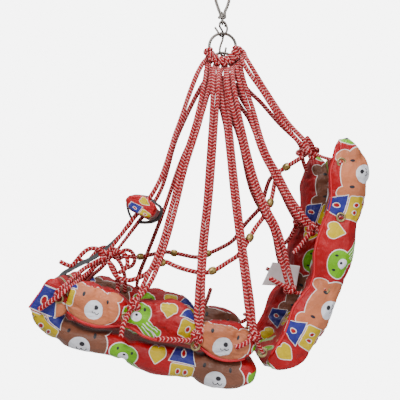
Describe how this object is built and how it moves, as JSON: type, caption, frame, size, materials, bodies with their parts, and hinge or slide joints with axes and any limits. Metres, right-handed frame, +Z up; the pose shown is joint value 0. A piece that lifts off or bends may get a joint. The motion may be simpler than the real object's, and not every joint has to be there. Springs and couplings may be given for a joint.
{
  "type": "padded rope swing seat",
  "caption": "Toddler swing seat: a padded red printed mat bent into seat and back, hung by braided ropes from two steel rings, with a padded front bar.",
  "frame": {"origin": "inner top of the hanging cord's loop, where the support carries it", "axes": "-Y the way the child faces, +X the child's left, +Z up"},
  "size_m": [0.3553, 0.5769, 0.743],
  "materials": {
    "grey_cord": "matte",
    "steel": "satin",
    "braided_rope": "matte",
    "gold_bead": "gloss",
    "brass": "satin",
    "wood": "matte",
    "webbing": "matte",
    "label_cloth": "matte",
    "printed_fabric": "matte"
  },
  "bodies": {
    "suspension": {"hanging_cord": "grey_cord"},
    "hook": {"hook_short": "steel"},
    "long_hook": {"hook_long": "steel"},
    "swing": {"ring_upper": "steel", "ring_lower": "steel", "rope_seat_a_left": "braided_rope", "rope_seat_b_left": "braided_rope", "rope_seat_c_left": "braided_rope", "rope_back_a_left": "braided_rope", "rope_back_b_left": "braided_rope", "rope_back_c_left": "braided_rope", "rope_seat_a_right": "braided_rope", "rope_seat_b_right": "braided_rope", "rope_seat_c_right": "braided_rope", "rope_back_a_right": "braided_rope", "rope_back_b_right": "braided_rope", "rope_back_c_right": "braided_rope", "rope_front_left": "braided_rope", "rope_front_right": "braided_rope", "guard_rope_left": "braided_rope", "guard_rope_right": "braided_rope", "eyelet_front_left": "brass", "eyelet_front_right": "brass", "eyelet_seat_a_left": "brass", "eyelet_seat_a_right": "brass", "eyelet_seat_b_left": "brass", "eyelet_seat_b_right": "brass", "eyelet_seat_c_left": "brass", "eyelet_seat_c_right": "brass", "eyelet_back_a_left": "brass", "eyelet_back_a_right": "brass", "eyelet_back_b_left": "brass", "eyelet_back_b_right": "brass", "eyelet_back_c_left": "brass", "eyelet_back_c_right": "brass", "seat_mat": "printed_fabric", "back_mat": "printed_fabric", "bolster_seat_left": "printed_fabric", "bolster_seat_right": "printed_fabric", "bolster_back_left": "printed_fabric", "bolster_back_right": "printed_fabric", "crotch_strap": "webbing", "blank_label": "label_cloth"},
    "bar": {"bar_cover": "printed_fabric", "bar_rod": "wood"},
    "body_bead_left_1": {"bead_left_1": "gold_bead"},
    "body_bead_left_2": {"bead_left_2": "gold_bead"},
    "body_bead_left_3": {"bead_left_3": "gold_bead"},
    "body_bead_left_4": {"bead_left_4": "gold_bead"},
    "body_bead_left_5": {"bead_left_5": "gold_bead"},
    "body_bead_right_1": {"bead_right_1": "gold_bead"},
    "body_bead_right_2": {"bead_right_2": "gold_bead"},
    "body_bead_right_3": {"bead_right_3": "gold_bead"},
    "body_bead_right_4": {"bead_right_4": "gold_bead"},
    "body_bead_right_5": {"bead_right_5": "gold_bead"},
    "body_bead_right_6": {"bead_right_6": "gold_bead"}
  },
  "joints": [
    {"name": "swing_fore_aft", "type": "hinge", "parent": "suspension", "child": "hook", "pos_m": [0, 0, -0.071], "axis": [1, 0, 0], "range_deg": [-30, 30]},
    {"name": "long_hook_rock", "type": "hinge", "parent": "hook", "child": "long_hook", "pos_m": [-0.0026, 0, -0.071], "axis": [0, 1, 0], "range_deg": [-3.85, 3.85]},
    {"name": "sway_sideways", "type": "hinge", "parent": "hook", "child": "swing", "pos_m": [0, 0, -0.0916], "axis": [0, 1, 0], "range_deg": [-6, 6]},
    {"name": "bar_slide", "type": "slide", "parent": "swing", "child": "bar", "axis": [0, -0.6088, -0.7934], "range_m": [0, 0.045], "deforming": ["crotch_strap"]},
    {"name": "bead_left_1_slide", "type": "slide", "parent": "swing", "child": "body_bead_left_1", "axis": [-0.0703, 0.9931, 0.0941], "range_m": [-0.002, 0.002]},
    {"name": "bead_left_2_slide", "type": "slide", "parent": "swing", "child": "body_bead_left_2", "axis": [-0.1129, 0.9348, 0.3368], "range_m": [-0.002, 0.002]},
    {"name": "bead_left_3_slide", "type": "slide", "parent": "swing", "child": "body_bead_left_3", "axis": [-0.2677, 0.4851, 0.8325], "range_m": [-0.002, 0.002]},
    {"name": "bead_left_4_slide", "type": "slide", "parent": "swing", "child": "body_bead_left_4", "axis": [-0.186, 0.344, 0.9204], "range_m": [-0.002, 0.002]},
    {"name": "bead_left_5_slide", "type": "slide", "parent": "swing", "child": "body_bead_left_5", "axis": [0.2996, 0.8029, 0.5154], "range_m": [-0.002, 0.002]},
    {"name": "bead_right_1_slide", "type": "slide", "parent": "swing", "child": "body_bead_right_1", "axis": [-0.0035, 0.9901, 0.1403], "range_m": [-0.002, 0.002]},
    {"name": "bead_right_2_slide", "type": "slide", "parent": "swing", "child": "body_bead_right_2", "axis": [0.0064, 0.9838, -0.1789], "range_m": [-0.002, 0.002]},
    {"name": "bead_right_3_slide", "type": "slide", "parent": "swing", "child": "body_bead_right_3", "axis": [0.0814, 0.919, 0.3858], "range_m": [-0.002, 0.002]},
    {"name": "bead_right_4_slide", "type": "slide", "parent": "swing", "child": "body_bead_right_4", "axis": [0.2076, 0.5465, 0.8114], "range_m": [-0.002, 0.002]},
    {"name": "bead_right_5_slide", "type": "slide", "parent": "swing", "child": "body_bead_right_5", "axis": [0.2211, 0.387, 0.8952], "range_m": [-0.002, 0.002]},
    {"name": "bead_right_6_slide", "type": "slide", "parent": "swing", "child": "body_bead_right_6", "axis": [-0.2741, 0.7817, 0.5602], "range_m": [-0.002, 0.002]}
  ],
  "couplings": [
    {"joint": "long_hook_rock", "follows": "sway_sideways", "ratio": 0.642}
  ]
}
